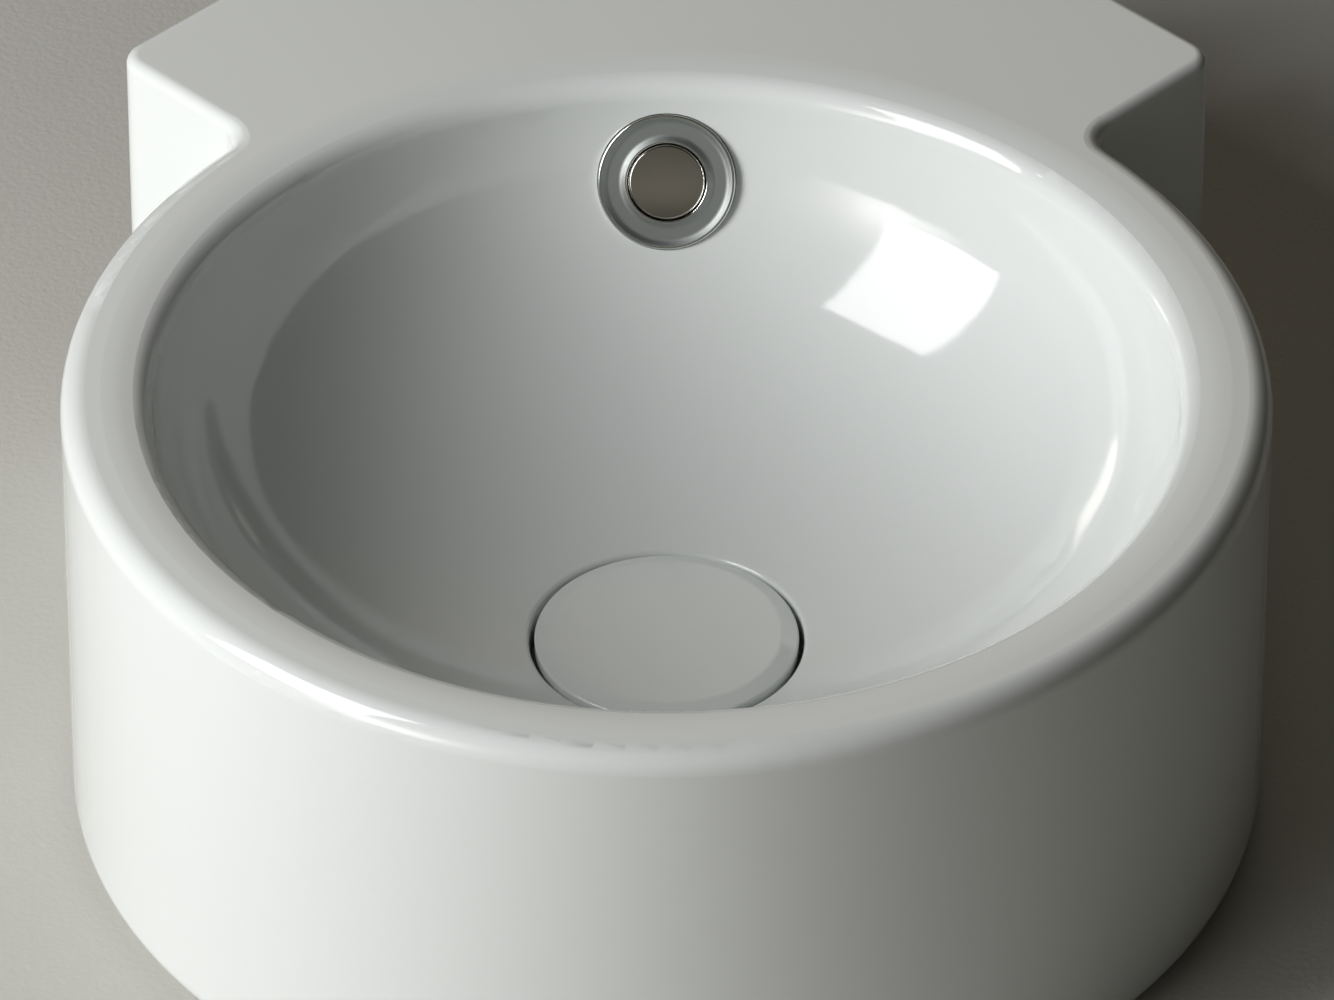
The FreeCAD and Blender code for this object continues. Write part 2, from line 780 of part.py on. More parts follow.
def overflow_ring():
    """Dished ring between two beads, with the sleeve that goes into the wall."""
    outer = overflow_ring_diameter / 2
    base = overflow_seal_thickness
    face = ring_top - overflow_dish
    bead = outer - overflow_bead
    lip = lip_bore + overflow_lip
    bead_round = overflow_bead * crest_share
    lip_round = overflow_lip * crest_share
    ring = turned(
        [
            (lip_bore, ring_top, lip_round),
            (lip_bore, bridge_thickness - overflow_sleeve_length, 0),
            (sleeve_bore, bridge_thickness - overflow_sleeve_length, 0),
            (sleeve_bore, -overflow_sleeve_length, 0),
            (sleeve_radius, -overflow_sleeve_length, 0),
            (sleeve_radius, base, 0),
            (outer, base, edge_break),
            (outer, ring_top, bead_round),
            (bead, ring_top, bead_round),
            (bead - overflow_flank, face, overflow_flank_round),
            (lip + overflow_flank, face, overflow_flank_round),
            (lip, ring_top, lip_round),
        ]
    )
    return placed(ring, overflow_seat, overflow_in)


def overflow_seal():
    """Thin rubber ring between the overflow ring and the ceramic."""
    outer = overflow_ring_diameter / 2 - seal_inset
    ring = tube(outer, sleeve_radius + fit_gap, 0, overflow_seal_thickness)
    return placed(ring, overflow_seat, overflow_in)


def overflow_bridge():
    """Ring with three arms that closes the sleeve's back end and holds the disc's stem."""
    rim = sleeve_bore - thread_gap
    low = -overflow_sleeve_length
    high = low + bridge_thickness
    half = bridge_arm_width / 2
    stem = disc_stem_diameter / 2 + thread_gap
    arm = block(0, rim - bridge_rim / 2, -half, half, low, high)
    hub = rod(bridge_hub_diameter / 2, low, high)
    body = tube(rim, rim - bridge_rim, low, high).fuse([hub] + around(arm, bridge_arms))
    body = body.cut(rod(stem, low - cut_past, high + cut_past))
    return placed(body.removeSplitter(), overflow_seat, overflow_in)


def overflow_disc():
    """Polished disc on a stem, a little proud of the ring's inner lip."""
    stem = disc_stem_diameter / 2
    face = disc_back + overflow_disc_thickness
    disc = turned(
        [
            (0, -overflow_sleeve_length, 0),
            (stem, -overflow_sleeve_length, edge_break),
            (stem, disc_back, 0),
            (disc_radius, disc_back, 0),
            (disc_radius, face - overflow_disc_bevel, edge_break),
            (disc_radius - overflow_disc_bevel, face, edge_break),
            (0, face, 0),
        ]
    )
    return placed(disc, overflow_seat, overflow_in)


def overflow_clip():
    """Spring band round the sleeve, with legs that bulge behind the ceramic wall."""
    inner = sleeve_radius + thread_gap / 2
    outer = inner + clip_thickness
    back = -ceramic_wall - overflow_seat_rise - thread_gap  # where the hole opens into the duct
    bulge = outer + clip_flare
    crest = back - clip_slope
    tip = crest - clip_slope
    points = [
        (inner, back + clip_band),
        (outer, back + clip_band),
        (outer, back),
        (bulge, crest),
        (outer, tip),
        (inner, tip),
        (bulge - clip_thickness * diagonal, crest),
        (inner, back),
    ]
    corners = [FreeCAD.Vector(r, -clip_leg_width / 2, z) for r, z in points]
    outline = Part.makePolygon(corners + corners[:1])
    leg = Part.Face(outline).extrude(FreeCAD.Vector(0, clip_leg_width, 0))
    band = tube(outer, inner, back + clip_band / 2, back + clip_band)
    bore = rod(inner, tip - cut_past, back + clip_band + cut_past)
    body = band.fuse(around(leg, clip_legs)).cut(bore)
    return placed(body.removeSplitter(), overflow_seat, overflow_in)


def hanger_bolts():
    """Bolts with a wood thread for the wall plug and a machine thread for the nut."""
    wood = wood_thread_diameter / 2
    return on_each_wall(
        turned(
            [
                (0, -bolt_in_wall, 0),
                (wood, -bolt_in_wall + bolt_point, 0),
                (wood, -bolt_shank, 0),
                (bolt_radius, -bolt_shank, 0),
                (bolt_radius, bolt_inside - bolt_chamfer, 0),
                (bolt_radius - bolt_chamfer, bolt_inside, 0),
                (0, bolt_inside, 0),
            ]
        )
    )


def wall_plugs():
    """Nylon plugs, split in four from the tip so that the bolts can spread them."""
    plug = turned(
        [
            (0, -plug_length, 0),
            (plug_split_diameter / 2 - plug_chamfer, -plug_length, 0),
            (plug_split_diameter / 2, -plug_length + plug_chamfer, 0),
            (plug_split_diameter / 2, -plug_length + plug_slot_length, 0),
            (plug_diameter / 2, -plug_length + plug_slot_length, 0),
            (plug_diameter / 2, 0, 0),
            (bolt_radius + thread_gap, 0, 0),
            (bolt_radius + thread_gap, -plug_length + plug_floor, 0),
            (0, -plug_length + plug_floor, 0),
        ]
    )
    half = plug_slot_width / 2
    reach = plug_diameter
    past_tip = -plug_length - cut_past
    slot = block(-reach, reach, -half, half, past_tip, -plug_length + plug_slot_length)
    crossed = slot.copy()
    crossed.rotate(ORIGIN, UP, 90)
    return on_each_wall(plug.cut(slot).cut(crossed))


def fixing_bushes():
    """Nylon sleeves that keep the bolts and washers off the ceramic."""
    bore = bolt_radius + fit_gap
    return on_each_wall(
        turned(
            [
                (bore, bush_off_wall, 0),
                (bush_diameter / 2, bush_off_wall, 0),
                (bush_diameter / 2, ceramic_wall, 0),
                (bush_flange_diameter / 2, ceramic_wall, 0),
                (bush_flange_diameter / 2, bush_under_washer, soft_round),
                (bore, bush_under_washer, 0),
            ]
        )
    )


def fixing_washers():
    """Flat steel washers under the nuts."""
    return on_each_wall(
        tube(washer_diameter / 2, bolt_radius + fit_gap, bush_under_washer, nut_seat, edge_chamfer)
    )


def fixing_nuts():
    """Hexagon nuts that pull the basin against the walls."""
    nut = hex_nut(nut_flats, nut_thickness, bolt_radius + thread_gap)
    nut.translate(UP * nut_seat)
    return on_each_wall(nut)


parts = {
    "ceramic_basin": ceramic_basin,
    "waste_cap": waste_cap,
    "cap_insert": cap_insert,
    "cap_seal": cap_seal,
    "plunger": plunger,
    "waste_body": waste_body,
    "flange_seal": flange_seal,
    "cartridge_housing": cartridge_housing,
    "cartridge_collar": cartridge_collar,
    "latch_ring": latch_ring,
    "click_spring": click_spring,
    "lower_gasket": lower_gasket,
    "slip_washer": slip_washer,
    "waste_backnut": waste_backnut,
    "overflow_ring": overflow_ring,
    "overflow_seal": overflow_seal,
    "overflow_bridge": overflow_bridge,
    "overflow_disc": overflow_disc,
    "overflow_clip": overflow_clip,
    "hanger_bolts": hanger_bolts,
    "wall_plugs": wall_plugs,
    "fixing_bushes": fixing_bushes,
    "fixing_washers": fixing_washers,
    "fixing_nuts": fixing_nuts,
}

os.makedirs("parts", exist_ok=True)
for node, make in parts.items():
    shape = make()
    shape.exportStep(f"parts/{node}.step")
    print(node, shape.isValid(), round(shape.Volume, 1), len(shape.Solids))
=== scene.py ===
import math

import bmesh
import bpy
from mathutils import Matrix, Vector


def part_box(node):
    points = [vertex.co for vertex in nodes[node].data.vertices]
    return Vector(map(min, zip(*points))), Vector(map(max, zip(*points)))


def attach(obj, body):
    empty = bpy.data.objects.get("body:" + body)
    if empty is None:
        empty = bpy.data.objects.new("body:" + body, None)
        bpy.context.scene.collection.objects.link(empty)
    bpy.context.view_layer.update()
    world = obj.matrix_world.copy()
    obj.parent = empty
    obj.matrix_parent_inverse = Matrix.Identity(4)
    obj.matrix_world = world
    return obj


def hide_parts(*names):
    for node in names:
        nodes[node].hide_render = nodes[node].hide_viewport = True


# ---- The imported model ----
# A small corner basin: a round drum with a sunk bowl and a square ledge behind it, the push waste
# in its floor, the overflow in its back wall and the fixings that hold it to a corner's two walls.
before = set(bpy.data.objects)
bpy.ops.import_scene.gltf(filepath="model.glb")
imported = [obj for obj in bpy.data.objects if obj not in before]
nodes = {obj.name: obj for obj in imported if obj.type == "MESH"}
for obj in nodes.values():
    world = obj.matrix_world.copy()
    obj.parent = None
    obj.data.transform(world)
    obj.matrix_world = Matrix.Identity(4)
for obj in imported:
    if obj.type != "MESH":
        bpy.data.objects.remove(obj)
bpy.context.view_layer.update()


# ---- Ceramic body ----
# One piece of vitreous china, cast in plaster, glazed white and fired once. The glaze covers all
# that shows. The hollow underside and the faces at the walls are bare, matt and a little creamy.
class Wire:
    """The output of a node. A sum written on it adds the Math nodes that work it out."""

    def __init__(self, tree, socket=None):
        self.tree = tree
        self.socket = socket

    def node(self, kind, settings=None, inputs=None, output=0):
        """Any node in the same tree: its settings first, then what its sockets hold or are fed."""
        made = self.tree.nodes.new(kind)
        for name, value in (settings or {}).items():
            setattr(made, name, value)
        for name, value in (inputs or {}).items():
            if isinstance(value, Wire):
                self.tree.links.new(value.socket, made.inputs[name])
            else:
                made.inputs[name].default_value = value
        return Wire(self.tree, made.outputs[output])

    def sum(self, operation, *others):
        """A Math node whose first term is this output."""
        terms = dict(enumerate((self, *others)))
        return self.node("ShaderNodeMath", {"operation": operation}, terms)

    def __add__(self, other):
        return self.sum("ADD", other)

    __radd__ = __add__

    def __sub__(self, other):
        return self.sum("SUBTRACT", other)

    def __rsub__(self, other):
        return self.node("ShaderNodeMath", {"operation": "SUBTRACT"}, {0: other, 1: self})

    def __mul__(self, other):
        return self.sum("MULTIPLY", other)

    __rmul__ = __mul__

    def __truediv__(self, other):
        return self.sum("DIVIDE", other)

    def __pow__(self, other):
        return self.sum("POWER", other)

    def __gt__(self, other):
        return self.sum("GREATER_THAN", other)

    def __lt__(self, other):
        return self.sum("LESS_THAN", other)

    def step(self, low, high, rise="SMOOTHSTEP"):
        """0 below low, 1 above high and a smooth rise between them."""
        ends = {"Value": self, "From Min": low, "From Max": high}
        return self.node("ShaderNodeMapRange", {"interpolation_type": rise}, ends)

    def point(self, operation, inputs, output=0):
        """A Vector Math node."""
        return self.node("ShaderNodeVectorMath", {"operation": operation}, inputs, output)

    def shift(self, direction, distance):
        """A point moved that far along a direction, or a colour with so much of another added."""
        way = self.point("SCALE", {0: direction, "Scale": distance})
        return self.point("ADD", {0: self, 1: way})

    def less(self, point):
        """A point as seen from another one."""
        return self.point("SUBTRACT", {0: self, 1: point})

    def along(self, direction):
        """How far a point lies along a direction."""
        return self.point("DOT_PRODUCT", {0: self, 1: direction}, "Value")

    def parts(self):
        """The three parts of a point."""
        split = self.node("ShaderNodeSeparateXYZ", {}, {"Vector": self})
        outputs = split.socket.node.outputs
        return [Wire(self.tree, outputs[i]) for i in range(3)]

    def grain(self, size, detail=2.0):
        """Soft noise with features of about that size in metres, from 0 to 1."""
        inputs = {"Vector": self, "Scale": 1 / size, "Detail": detail}
        return self.node("ShaderNodeTexNoise", {}, inputs, "Fac")


def blend(mask, first, second):
    """First where the mask is 0 and second where it is 1, for colours."""
    inputs = {0: mask, 6: first, 7: second}
    return mask.node("ShaderNodeMix", {"data_type": "RGBA"}, inputs, output=2)


def relief(height):
    """A bump that stands as many metres proud as its height says."""
    return height.node("ShaderNodeBump", {}, {"Height": height, "Distance": 1.0}, "Normal")


def new_finish(name, **constants):
    """A material with its shader and the wire that holds the place on the piece."""
    material = bpy.data.materials.new(name)
    material.use_nodes = True
    shader = material.node_tree.nodes["Principled BSDF"]
    for socket, value in constants.items():
        shader.inputs[socket.replace("_", " ")].default_value = value
    place = Wire(material.node_tree).node("ShaderNodeTexCoord", output="Object")
    return material, shader, place


def feed(shader, **wires):
    """Joins wires to the shader's sockets."""
    for socket, wire in wires.items():
        wire.tree.links.new(wire.socket, shader.inputs[socket.replace("_", " ")])


def dress(finish, *names):
    """Gives CAD nodes their finish."""
    for name in names:
        for slot in nodes[name].material_slots:
            slot.link = "OBJECT"
            slot.material = finish


rim_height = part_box("ceramic_basin")[1].z
drum_y = -0.198 * math.sqrt(2)
drum_axis = Vector((0, drum_y, 0))
# What is bare lies under an ellipse, halfway through the bowl's wall, and inside the outer walls.
under_bowl_level, under_bowl_radius, under_bowl_depth = 0.11725, 0.1323, 0.0825
drum_hollow_radius, drum_hollow_top = 0.1415, 0.1065
ledge_hollow_near, ledge_hollow_far, ledge_hollow_top = 0.0085, 0.1915, 0.1125
drum_wall_radius = 0.1485
glaze_white, glaze_shade = (0.785, 0.812, 0.800, 1), (0.775, 0.805, 0.793, 1)
bisque_cream, bisque_shade = (0.72, 0.69, 0.62, 1), (0.66, 0.63, 0.56, 1)


def glazed_china():
    """Glossy white glaze with bare ceramic where the point is under the bowl or against a wall."""
    finish, shader, place = new_finish("glazed_china", IOR=1.52)
    x, y, z = place.parts()
    from_left = (x - y) / math.sqrt(2)
    from_right = (0 - x - y) / math.sqrt(2)
    local = place.less(drum_axis)
    flat = local.point("MULTIPLY", {0: local, 1: (1, 1, 0)})
    radius = flat.point("LENGTH", {0: flat}, "Value")
    depth = (under_bowl_level - z).sum("MAXIMUM", 0.0)
    below_bowl = ((radius / under_bowl_radius) ** 2 + (depth / under_bowl_depth) ** 2) > 1.0
    in_drum = (radius < drum_hollow_radius) * (z < drum_hollow_top)
    in_ledge = (radius > drum_wall_radius) * (z < ledge_hollow_top)
    for distance in (from_left, from_right):
        in_ledge = in_ledge * (distance > ledge_hollow_near) * (distance < ledge_hollow_far)
    hidden = below_bowl * in_drum.sum("MAXIMUM", in_ledge)
    to_wall = from_left.sum("MINIMUM", from_right) + 0.0004 * place.grain(0.004)
    bare = hidden.sum("MAXIMUM", 1 - to_wall.step(0.0003, 0.0009))

    white = blend(place.grain(0.11, 1.0), glaze_shade, glaze_white)
    cream = blend(place.grain(0.02, 4.0), bisque_shade, bisque_cream)
    gloss = 0.055 + 0.03 * place.grain(0.03)
    matt = 0.62 + 0.1 * place.grain(0.003)
    flow = place.grain(0.035, 1.0) * 0.85 + place.grain(0.009, 1.0) * 0.15
    sand = place.grain(0.0006, 3.0)
    height = flow * 0.00008 * (1 - bare) + sand * 0.00012 * bare
    roughness = gloss + bare * (matt - gloss)
    colour = blend(bare, white, cream)
    feed(shader, Base_Color=colour, Roughness=roughness, Normal=relief(height))
    return finish


dress(glazed_china(), "ceramic_basin")


# ---- Cap of the push waste ----
# A disc of the same china, glazed on top and on its edge, flush in its recess. A brass hub bonded
# into its underside takes the plunger, and the rubber ring below it closes on the waste's flange.
def glazed_cap():
    """The body's glaze, a little smoother."""
    finish, shader, place = new_finish("glazed_cap", IOR=1.52)
    feed(shader, Base_Color=blend(place.grain(0.05, 1.0), glaze_shade, glaze_white))
    feed(shader, Roughness=0.045 + 0.03 * place.grain(0.02))
    feed(shader, Normal=relief(place.grain(0.02, 1.0) * 0.00004))
    return finish


def turned_brass():
    """Bare brass with the fine rings that the lathe leaves."""
    finish, shader, place = new_finish("turned_brass", Metallic=1.0)
    x, y, z = place.less(drum_axis).parts()
    rings = ((x * x + y * y) ** 0.5 * 9000 + z * 9000).sum("SINE")
    tarnish = place.grain(0.006, 4.0)
    feed(shader, Base_Color=blend(tarnish, (0.62, 0.45, 0.2, 1), (0.8, 0.63, 0.34, 1)))
    feed(shader, Roughness=0.24 + 0.2 * tarnish, Normal=relief(rings * 0.000004))
    return finish


def black_rubber():
    """Moulded rubber, a little dusty."""
    finish, shader, place = new_finish("black_rubber", IOR=1.5)
    dust = place.grain(0.004, 5.0)
    feed(shader, Base_Color=blend(dust, (0.018, 0.018, 0.018, 1), (0.05, 0.05, 0.05, 1)))
    feed(shader, Roughness=0.5 + 0.25 * dust, Normal=relief(place.grain(0.0004) * 0.00002))
    return finish


brass = turned_brass()
rubber = black_rubber()
dress(glazed_cap(), "waste_cap")
dress(brass, "cap_insert")
dress(rubber, "cap_seal")


# ---- Push cartridge ----
# A moulded cup screwed into the web of the waste, with the notched latch ring and the coil spring
# that lifts the brass plunger, under a turned collar.
def moulded_plastic(name, dark, light):
    """Moulded plastic with a fine eroded surface."""
    finish, shader, place = new_finish(name, IOR=1.49)
    tone = place.grain(0.01)
    feed(shader, Base_Color=blend(tone, dark, light), Roughness=0.38 + 0.15 * tone)
    feed(shader, Normal=relief(place.grain(0.0005) * 0.00002))
    return finish


def drawn_steel():
    """Spring steel with faint drawing lines."""
    finish, shader, place = new_finish("drawn_steel", Metallic=1.0)
    lines = place.grain(0.0008, 3.0)
    feed(shader, Base_Color=blend(lines, (0.42, 0.42, 0.43, 1), (0.6, 0.6, 0.61, 1)))
    feed(shader, Roughness=0.22 + 0.15 * lines, Normal=relief(lines * 0.00001))
    return finish


grey_plastic = moulded_plastic("grey_plastic", (0.15, 0.155, 0.16, 1), (0.19, 0.195, 0.2, 1))
steel = drawn_steel()
dress(grey_plastic, "cartridge_housing", "latch_ring")
dress(steel, "click_spring")
dress(brass, "plunger", "cartridge_collar")


# ---- Waste body ----
# Flange, slotted tube and web in one brass casting, turned, threaded and chromed, with a rubber
# ring between the flange and the ceramic. The trap screws on the pipe thread of its tail.
def chrome():
    """Bright chrome with a trace of wiping marks."""
    finish, shader, place = new_finish("polished_chrome", Metallic=1.0)
    haze = place.grain(0.012, 4.0)
    feed(shader, Base_Color=blend(haze, (0.62, 0.63, 0.64, 1), (0.72, 0.73, 0.74, 1)))
    feed(shader, Roughness=0.05 + 0.05 * haze, Normal=relief(place.grain(0.003) * 0.000004))
    return finish


rows_per_turn = 8  # of faces, from one crest of a thread to the next
same_place = 0.000002
near_thread = 0.00004  # how far a corner of the plain cylinder may lie from its true place
seam = 0.00005  # width of the band that joins a thread to the rest of its piece
sharp_angle = math.radians(32)


def thread_tree():
    """Geometry Nodes: a tube whose wall is a screw thread, on any axis, run out at both ends."""
    tree = bpy.data.node_groups.new("screw_thread", "GeometryNodeTree")
    sockets = {
        "Geometry": ("Geometry",),
        "Float": ("Crest Radius", "Depth", "Pitch", "Low", "High"),
        "Int": ("Round Steps", "Turns"),
        "Vector": ("Start", "Axis", "Side", "Over"),
        "Material": ("Finish",),
    }
    tree.interface.new_socket("Geometry", in_out="OUTPUT", socket_type="NodeSocketGeometry")
    for kind, names in sockets.items():
        for name in names:
            tree.interface.new_socket(name, in_out="INPUT", socket_type="NodeSocket" + kind)
    entry = tree.nodes.new("NodeGroupInput")
    given = {socket.name: Wire(tree, socket) for socket in entry.outputs if socket.name}
    low, high, pitch, turns = (given[name] for name in ("Low", "High", "Pitch", "Turns"))
    sizes = {
        "Size X": 1.0,
        "Size Y": 1.0,
        "Vertices X": given["Round Steps"] + 1,
        "Vertices Y": turns * rows_per_turn + 1,
    }
    sheet = Wire(tree).node("GeometryNodeMeshGrid", {}, sizes)
    across, along, _ = Wire(tree).node("GeometryNodeInputPosition").parts()
    round_share, rise = across + 0.5, (along + 0.5) * turns
    level = low - pitch + (rise + round_share) * pitch
    level = level.sum("MAXIMUM", low).sum("MINIMUM", high)
    flank = (rise.sum("FRACT") - 0.5).sum("ABSOLUTE") * 2
    hollow = 1 - flank.step(0.125, 0.875, "LINEAR")
    to_end = (level - low).sum("MINIMUM", high - level)
    run_out = (to_end / pitch).step(0.0, 0.7)
    radius = given["Crest Radius"] - given["Depth"] * hollow * run_out
    angle = round_share * (2 * math.pi)
    point = given["Start"].shift(given["Axis"], level)
    point = point.shift(given["Side"], radius * angle.sum("COSINE"))
    point = point.shift(given["Over"], radius * angle.sum("SINE"))
    steps = (
        ("GeometryNodeSetPosition", {"Position": point}),
        ("GeometryNodeMergeByDistance", {"Distance": same_place}),
        ("GeometryNodeRealizeInstances", {}),
        ("GeometryNodeSetMaterial", {"Material": given["Finish"]}),
    )
    tube = sheet
    for kind, inputs in steps:
        tube = tube.node(kind, {}, {"Geometry": tube, **inputs})
    leave = tree.nodes.new("NodeGroupOutput")
    tree.links.new(tube.socket, leave.inputs["Geometry"])
    return tree


thread_nodes = thread_tree()


def thread_mesh(finish, start, axis, side, crest, depth, pitch, low, high, steps):
    """The thread as a plain mesh. Low and high are measured along the axis from the start."""
    carrier = bpy.data.objects.new("thread", bpy.data.meshes.new("thread"))
    bpy.context.scene.collection.objects.link(carrier)
    modifier = carrier.modifiers.new("thread", "NODES")
    modifier.node_group = thread_nodes
    values = {
        "Crest Radius": crest,
        "Depth": depth,
        "Pitch": pitch,
        "Low": low,
        "High": high,
        "Round Steps": steps,
        "Turns": math.ceil((high - low) / pitch) + 1,
        "Start": tuple(start),
        "Axis": tuple(axis),
        "Side": tuple(side),
        "Over": tuple(axis.cross(side)),
        "Finish": finish,
    }
    for item in thread_nodes.interface.items_tree:
        if item.in_out == "INPUT" and item.name in values:
            modifier[item.identifier] = values[item.name]
    evaluated = carrier.evaluated_get(bpy.context.evaluated_depsgraph_get())
    mesh = bpy.data.meshes.new_from_object(evaluated)
    carrier.modifiers.remove(modifier)
    bpy.data.objects.remove(carrier)
    return mesh


def cut_thread(shell, finish, start, axis, side, crest, low, high, **form):
    """Puts a thread in the place of a plain cylinder of the shell and joins it at both ends."""

    def height(vertex):
        return (vertex.co - start).dot(axis)

    def on_thread(vertex):
        level = height(vertex)
        radius = (vertex.co - start - axis * level).length
        in_length = low - near_thread < level < high + near_thread
        return in_length and abs(radius - crest) < near_thread

    plain = [face for face in shell.faces if all(on_thread(corner) for corner in face.verts)]
    bmesh.ops.delete(shell, geom=plain, context="FACES")
    ends = {"low": low + seam, "high": high - seam}
    mesh = thread_mesh(finish, start, axis, side, crest, **ends, **form)
    shell.from_mesh(mesh)
    bpy.data.meshes.remove(mesh)
    for end in (low, high):
        open_edges = [
            edge
            for edge in shell.edges
            if edge.is_boundary
            and all(on_thread(v) and abs(height(v) - end) < 2 * near_thread for v in edge.verts)
        ]
        bmesh.ops.bridge_loops(shell, edges=open_edges)


def threaded(node, finish, threads):
    """A merged copy of a CAD node with its plain cylinders turned into threads."""
    shell = bmesh.new()
    shell.from_mesh(nodes[node].data)
    bmesh.ops.remove_doubles(shell, verts=shell.verts, dist=same_place)
    for thread in threads:
        cut_thread(shell, finish, **thread)
    for face in shell.faces:
        face.smooth = True
        face.material_index = 0
    bmesh.ops.recalc_face_normals(shell, faces=shell.faces)
    mesh = bpy.data.meshes.new(node + "_threaded")
    shell.to_mesh(mesh)
    shell.free()
    mesh.set_sharp_from_angle(angle=sharp_angle)
    mesh.materials.clear()
    mesh.materials.append(finish)
    piece = bpy.data.objects.new(node + "_threaded", mesh)
    bpy.context.scene.collection.objects.link(piece)
    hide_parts(node)
    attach(piece, "root")


trap_thread = {
    "start": drum_axis,
    "axis": Vector((0, 0, 1)),
    "side": Vector((1, 0, 0)),
    "crest": 0.020955,
    "depth": 0.00145,
    "pitch": 0.002309,
    "low": -0.049,
    "high": -0.0175,
    "steps": 96,
}
threaded("waste_body", chrome(), [trap_thread])
dress(rubber, "flange_seal")

# ---- Underside seal and nut ----
# A rubber cone gasket, a thin plastic washer that lets the nut turn on it, and a brass hexagon nut.
# The nut pulls the waste's flange down and closes the hole of the ceramic from below.
white_plastic = moulded_plastic("white_plastic", (0.66, 0.66, 0.63, 1), (0.74, 0.74, 0.71, 1))
dress(rubber, "lower_gasket")
dress(white_plastic, "slip_washer")
dress(brass, "waste_backnut")

# ---- Overflow ----
# A chromed brass ring with two bright beads and a satin dished face between them, and in its
# middle a polished disc on a stem. A clip holds it in the bowl's tilted back wall on a thin seal.
overflow_seat = Vector((0, -0.158146, 0.096014))
overflow_in = Vector((0, -0.90372, 0.42813))  # out of the wall, into the bowl
overflow_up = Vector((0, 0.4281, 0.9037))
satin_from, satin_to = 0.0105, 0.0170  # radii of the satin face
satin_fade_in, satin_fade_out = 0.0107, 0.0168
disc_crown = 5.0  # fall per square metre from the middle, in metres
disc_lean = 0.06  # slope


def ring_chrome():
    """Chrome that is bright on the beads and satin, with fine circles, on the face between them."""
    finish, shader, place = new_finish("ring_chrome", Metallic=1.0)
    local = place.less(overflow_seat)
    rise = local.along(overflow_in)
    radius = (local.along(local) - rise * rise) ** 0.5
    satin = radius.step(satin_from, satin_fade_in) * (1 - radius.step(satin_fade_out, satin_to))
    circles = (radius * 42000).sum("SINE")
    streak = place.grain(0.0012, 3.0)
    feed(shader, Base_Color=blend(satin, (0.78, 0.79, 0.78, 1), (0.37, 0.39, 0.38, 1)))
    feed(shader, Roughness=0.07 + satin * (0.42 + 0.08 * streak))
    feed(shader, Normal=relief(circles * satin * 0.000002))
    return finish


def disc_chrome():
    """Polished chrome, slightly crowned by the polishing wheel."""
    finish, shader, place = new_finish("disc_chrome", Metallic=1.0)
    local = place.less(overflow_seat)
    rise = local.along(overflow_in)
    crown = local.along(local) - rise * rise
    haze = place.grain(0.008, 4.0)
    feed(shader, Base_Color=blend(haze, (0.56, 0.54, 0.50, 1), (0.62, 0.60, 0.56, 1)))
    feed(shader, Roughness=0.10 + 0.05 * haze)
    lean = local.along(overflow_up) * disc_lean
    feed(shader, Normal=relief(0 - crown * disc_crown - lean))
    return finish


dress(ring_chrome(), "overflow_ring")
dress(disc_chrome(), "overflow_disc")
dress(rubber, "overflow_seal")
dress(grey_plastic, "overflow_bridge")
dress(steel, "overflow_clip")

# ---- Wall fixings ----
# Two zinc plated hanger bolts in split nylon plugs, with a flanged nylon bush, a washer and a nut
# on each inside the ledge.
bolt_from_corner, bolt_height = 0.1, 0.068
barb_spacing = 0.004
barbs_from, barbs_to = 0.028, 0.064  # depths in the wall


def zinc_plate():
    """Zinc plated steel, cloudy and a little uneven."""
    finish, shader, place = new_finish("zinc_plate", Metallic=1.0)
    spangle = place.grain(0.002, 4.0)
    feed(shader, Base_Color=blend(spangle, (0.5, 0.52, 0.54, 1), (0.68, 0.69, 0.7, 1)))
    feed(shader, Roughness=0.25 + 0.2 * spangle, Normal=relief(spangle * 0.00001))
    return finish


def barbed_nylon():
    """Grey nylon with the rings that grip the hole, along the plug's split part."""
    finish, shader, place = new_finish("barbed_nylon", IOR=1.5)
    x, y, _ = place.parts()
    into_wall = (x.sum("ABSOLUTE") + y) / math.sqrt(2)
    barb = (into_wall * (1 / barb_spacing)).sum("FRACT") * into_wall.step(barbs_from, 0.030)
    barb = barb * (1 - into_wall.step(0.062, barbs_to))
    tone = place.grain(0.006, 3.0)
    feed(shader, Base_Color=blend(tone, (0.20, 0.205, 0.21, 1), (0.26, 0.265, 0.27, 1)))
    feed(shader, Roughness=0.45 + 0.15 * tone)
    feed(shader, Normal=relief(barb * 0.0006 + place.grain(0.0006) * 0.00002))
    return finish


zinc = zinc_plate()
bolt_threads = []
for hand in (-1, 1):
    sideways = Vector((hand, -1, 0)) * math.sqrt(0.5)
    bolt_threads.append(
        {
            "start": sideways * bolt_from_corner + Vector((0, 0, bolt_height)),
            "axis": Vector((-hand, -1, 0)) * math.sqrt(0.5),
            "side": Vector((0, 0, 1)),
            "crest": 0.005,
            "depth": 0.00092,
            "pitch": 0.0015,
            "low": -0.004,
            "high": 0.035,
            "steps": 48,
        }
    )
threaded("hanger_bolts", zinc, bolt_threads)
dress(zinc, "fixing_washers", "fixing_nuts")
dress(white_plastic, "fixing_bushes")
dress(barbed_nylon(), "wall_plugs")

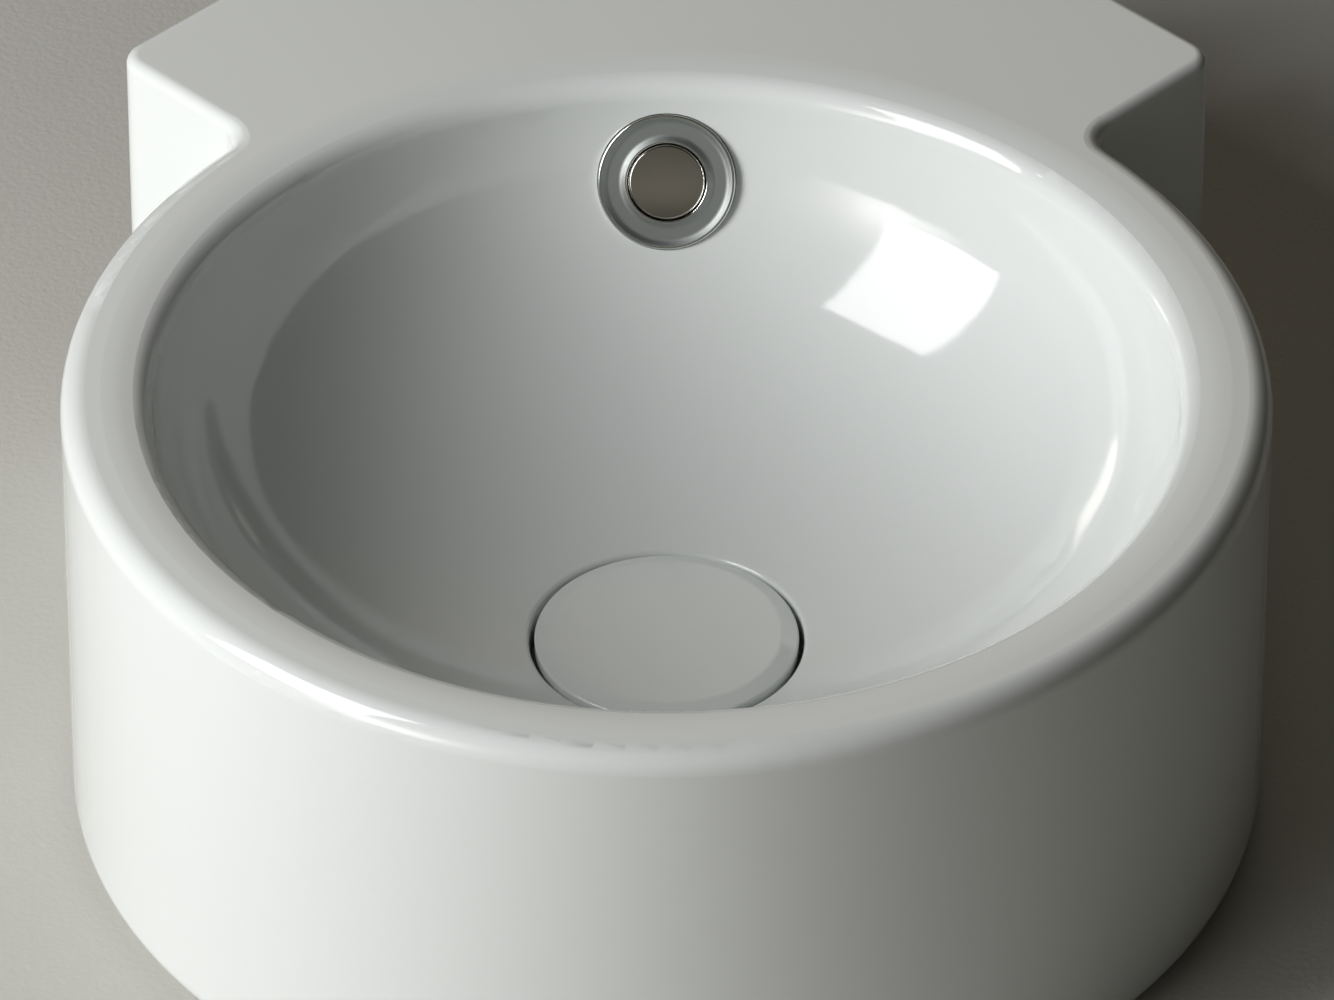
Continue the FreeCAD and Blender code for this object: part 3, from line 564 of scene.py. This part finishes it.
# ---- Floor ----
# The basin stands on a plain pale plastered surface with a fine pebbled skin. A hole under the drum
# lets the waste's tail through.
floor_rings, floor_steps, floor_level = (0.06, 0.3, 0.9, 1.6), 96, -0.0002
floor_points, floor_faces = [], []
for distance in floor_rings:
    for i in range(floor_steps):
        turn = 2 * math.pi * i / floor_steps
        x, y = distance * math.cos(turn), drum_y + distance * math.sin(turn)
        floor_points.append((x, y, floor_level))
for inner in range(0, (len(floor_rings) - 1) * floor_steps, floor_steps):
    outer = inner + floor_steps
    for i in range(floor_steps):
        j = (i + 1) % floor_steps
        floor_faces.append((inner + i, outer + i, outer + j, inner + j))
floor_mesh = bpy.data.meshes.new("floor")
floor_mesh.from_pydata(floor_points, [], floor_faces)
floor = bpy.data.objects.new("floor", floor_mesh)
bpy.context.scene.collection.objects.link(floor)
plaster, shader, place = new_finish("plaster", IOR=1.4)
tone = place.grain(0.05, 4.0)
feed(shader, Base_Color=blend(tone, (0.56, 0.55, 0.51, 1), (0.60, 0.59, 0.55, 1)))
feed(shader, Roughness=0.7 + 0.1 * tone)
feed(shader, Normal=relief(place.grain(0.0018, 4.0) * 0.00016))
floor_mesh.materials.append(plaster)


# ---- Light ----
# One large soft box on the left. The room adds a low glow from the front left, a faint warm one
# behind and a dim one in front.
def soft_box(name, centre, towards, upright, width, height, radiance):
    """Area light that shows as a bright rectangle in the glaze."""
    lamp = bpy.data.lights.new(name, "AREA")
    lamp.shape = "RECTANGLE"
    lamp.size, lamp.size_y = width, height
    lamp.energy = radiance * math.pi * width * height
    item = bpy.data.objects.new(name, lamp)
    bpy.context.scene.collection.objects.link(item)
    back = (Vector(centre) - Vector(towards)).normalized()
    side = Vector(upright).cross(back).normalized()
    facing = Matrix((side, back.cross(side), back)).transposed().to_4x4()
    item.matrix_world = Matrix.Translation(centre) @ facing


soft_box(
    "key",
    centre=(-1.062, -0.648, 0.912),
    towards=(-0.373, -0.044, 0.677),
    upright=(0.151, 0.204, 0.967),
    width=0.68,
    height=1.08,
    radiance=7.75,
)

world = bpy.data.worlds.new("studio")
bpy.context.scene.world = world
world.use_nodes = True
background = world.node_tree.nodes["Background"]
sky = Wire(world.node_tree).node("ShaderNodeTexCoord", output="Generated")
_, y, z = sky.parts()
front_left_glow = sky.along((-0.754, -0.633, 0.174)).sum("MAXIMUM", 0.0) ** 40
rear_glow = sky.along((0, 0.866, 0.5)).sum("MAXIMUM", 0.0) ** 12
front_glow = (0 - y).sum("MAXIMUM", 0.0) ** 4 * z.step(0.06, 0.36)
room = sky.node("ShaderNodeCombineXYZ")
room = room.shift((7.1, 7.0, 6.95), front_left_glow)
room = room.shift((0.66, 0.60, 0.49), rear_glow)
room = room.shift((0.24, 0.23, 0.195), front_glow)
world.node_tree.links.new(room.socket, background.inputs["Color"])

# ---- Camera ----
# Above the front of the basin, looking down into the bowl with a long lens. The middle of the rim
# lies above the middle of the picture.
picture_width, picture_middle = 1334, Vector((667.0, 500.0))
rim_middle = Vector((666.7, 378.8))  # in the picture, in pixels from its upper left corner
focal, camera_pitch, camera_distance = 12600.0, math.radians(37.5), 3.1142
rightward = Vector((1, 0, 0))
forward = Vector((0, math.cos(camera_pitch), -math.sin(camera_pitch)))
upward = Vector((0, math.sin(camera_pitch), math.cos(camera_pitch)))
off_middle = (rim_middle - picture_middle) * (camera_distance / focal)
offset = rightward * off_middle.x - upward * off_middle.y
rim_centre = Vector((0, drum_y, rim_height))
camera_data = bpy.data.cameras.new("camera")
camera_data.sensor_width = 36.0
camera_data.lens = focal / picture_width * camera_data.sensor_width
camera_data.clip_start, camera_data.clip_end = 0.05, 50
camera = bpy.data.objects.new("camera", camera_data)
bpy.context.scene.collection.objects.link(camera)
facing = Matrix((rightward, upward, -forward)).transposed().to_4x4()
camera_place = rim_centre - forward * camera_distance - offset
camera.matrix_world = Matrix.Translation(camera_place) @ facing
bpy.context.scene.camera = camera
bpy.context.scene.view_settings.view_transform = "Standard"
